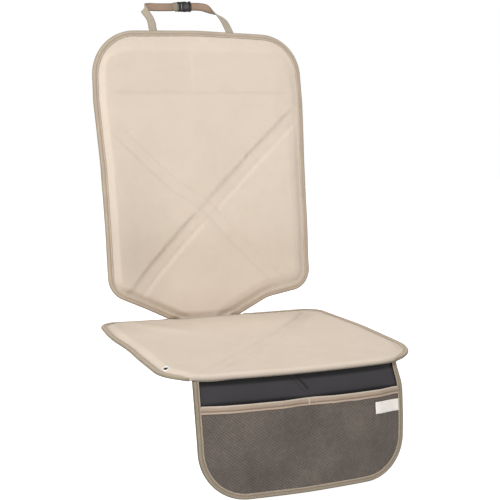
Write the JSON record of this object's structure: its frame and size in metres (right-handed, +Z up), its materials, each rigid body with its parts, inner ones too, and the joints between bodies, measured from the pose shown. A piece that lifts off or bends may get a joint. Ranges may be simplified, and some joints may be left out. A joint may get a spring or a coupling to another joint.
{
  "type": "car seat protector mat",
  "caption": "Padded fabric mat that covers a car seat's cushion and backrest, with a buckled headrest strap and a mesh pocket flap at the front.",
  "frame": {"origin": "centre of the seat panel's flat underside, halfway between its rear edge and the middle of its front edge to within 5 mm", "axes": "+Z up, +X to the right as seen from the front, front towards -Y; the back panel stands at the rear and leans back 9.3 degrees, and the flap hangs below the front edge"},
  "size_m": [0.486, 0.6844, 0.8645],
  "materials": {
    "face_fabric": "beige suede-like polyester, matt",
    "foam": "cream foam sheet, hidden",
    "grip_backing": "charcoal anti-slip fabric",
    "edge_tape": "brown-grey woven edge tape",
    "flap_fabric": "charcoal fabric, matt",
    "mesh": "brown-grey fine mesh",
    "thread": "sewing thread",
    "label": "off-white woven label, blank",
    "webbing": "beige-grey woven webbing",
    "buckle": "black moulded plastic, satin",
    "eyelet": "brown-grey coated metal"
  },
  "bodies": {
    "root": {"back_face_fabric": "face_fabric", "back_foam": "foam", "back_grip_backing": "grip_backing", "back_edge_binding": "edge_tape", "seat_face_fabric": "face_fabric", "seat_foam": "foam", "seat_grip_backing": "grip_backing", "seat_binding_left": "edge_tape", "seat_binding_right": "edge_tape", "corner_eyelet": "eyelet", "flap_backing": "flap_fabric", "pocket_mesh": "mesh", "pocket_top_binding": "edge_tape", "flap_edge_binding": "edge_tape", "pocket_divider_thread": "thread", "pocket_bar_tack": "thread", "pocket_label": "label", "strap_left": "webbing", "strap_right": "webbing", "buckle_socket": "buckle", "buckle_plug": "buckle"}
  },
  "joints": []
}
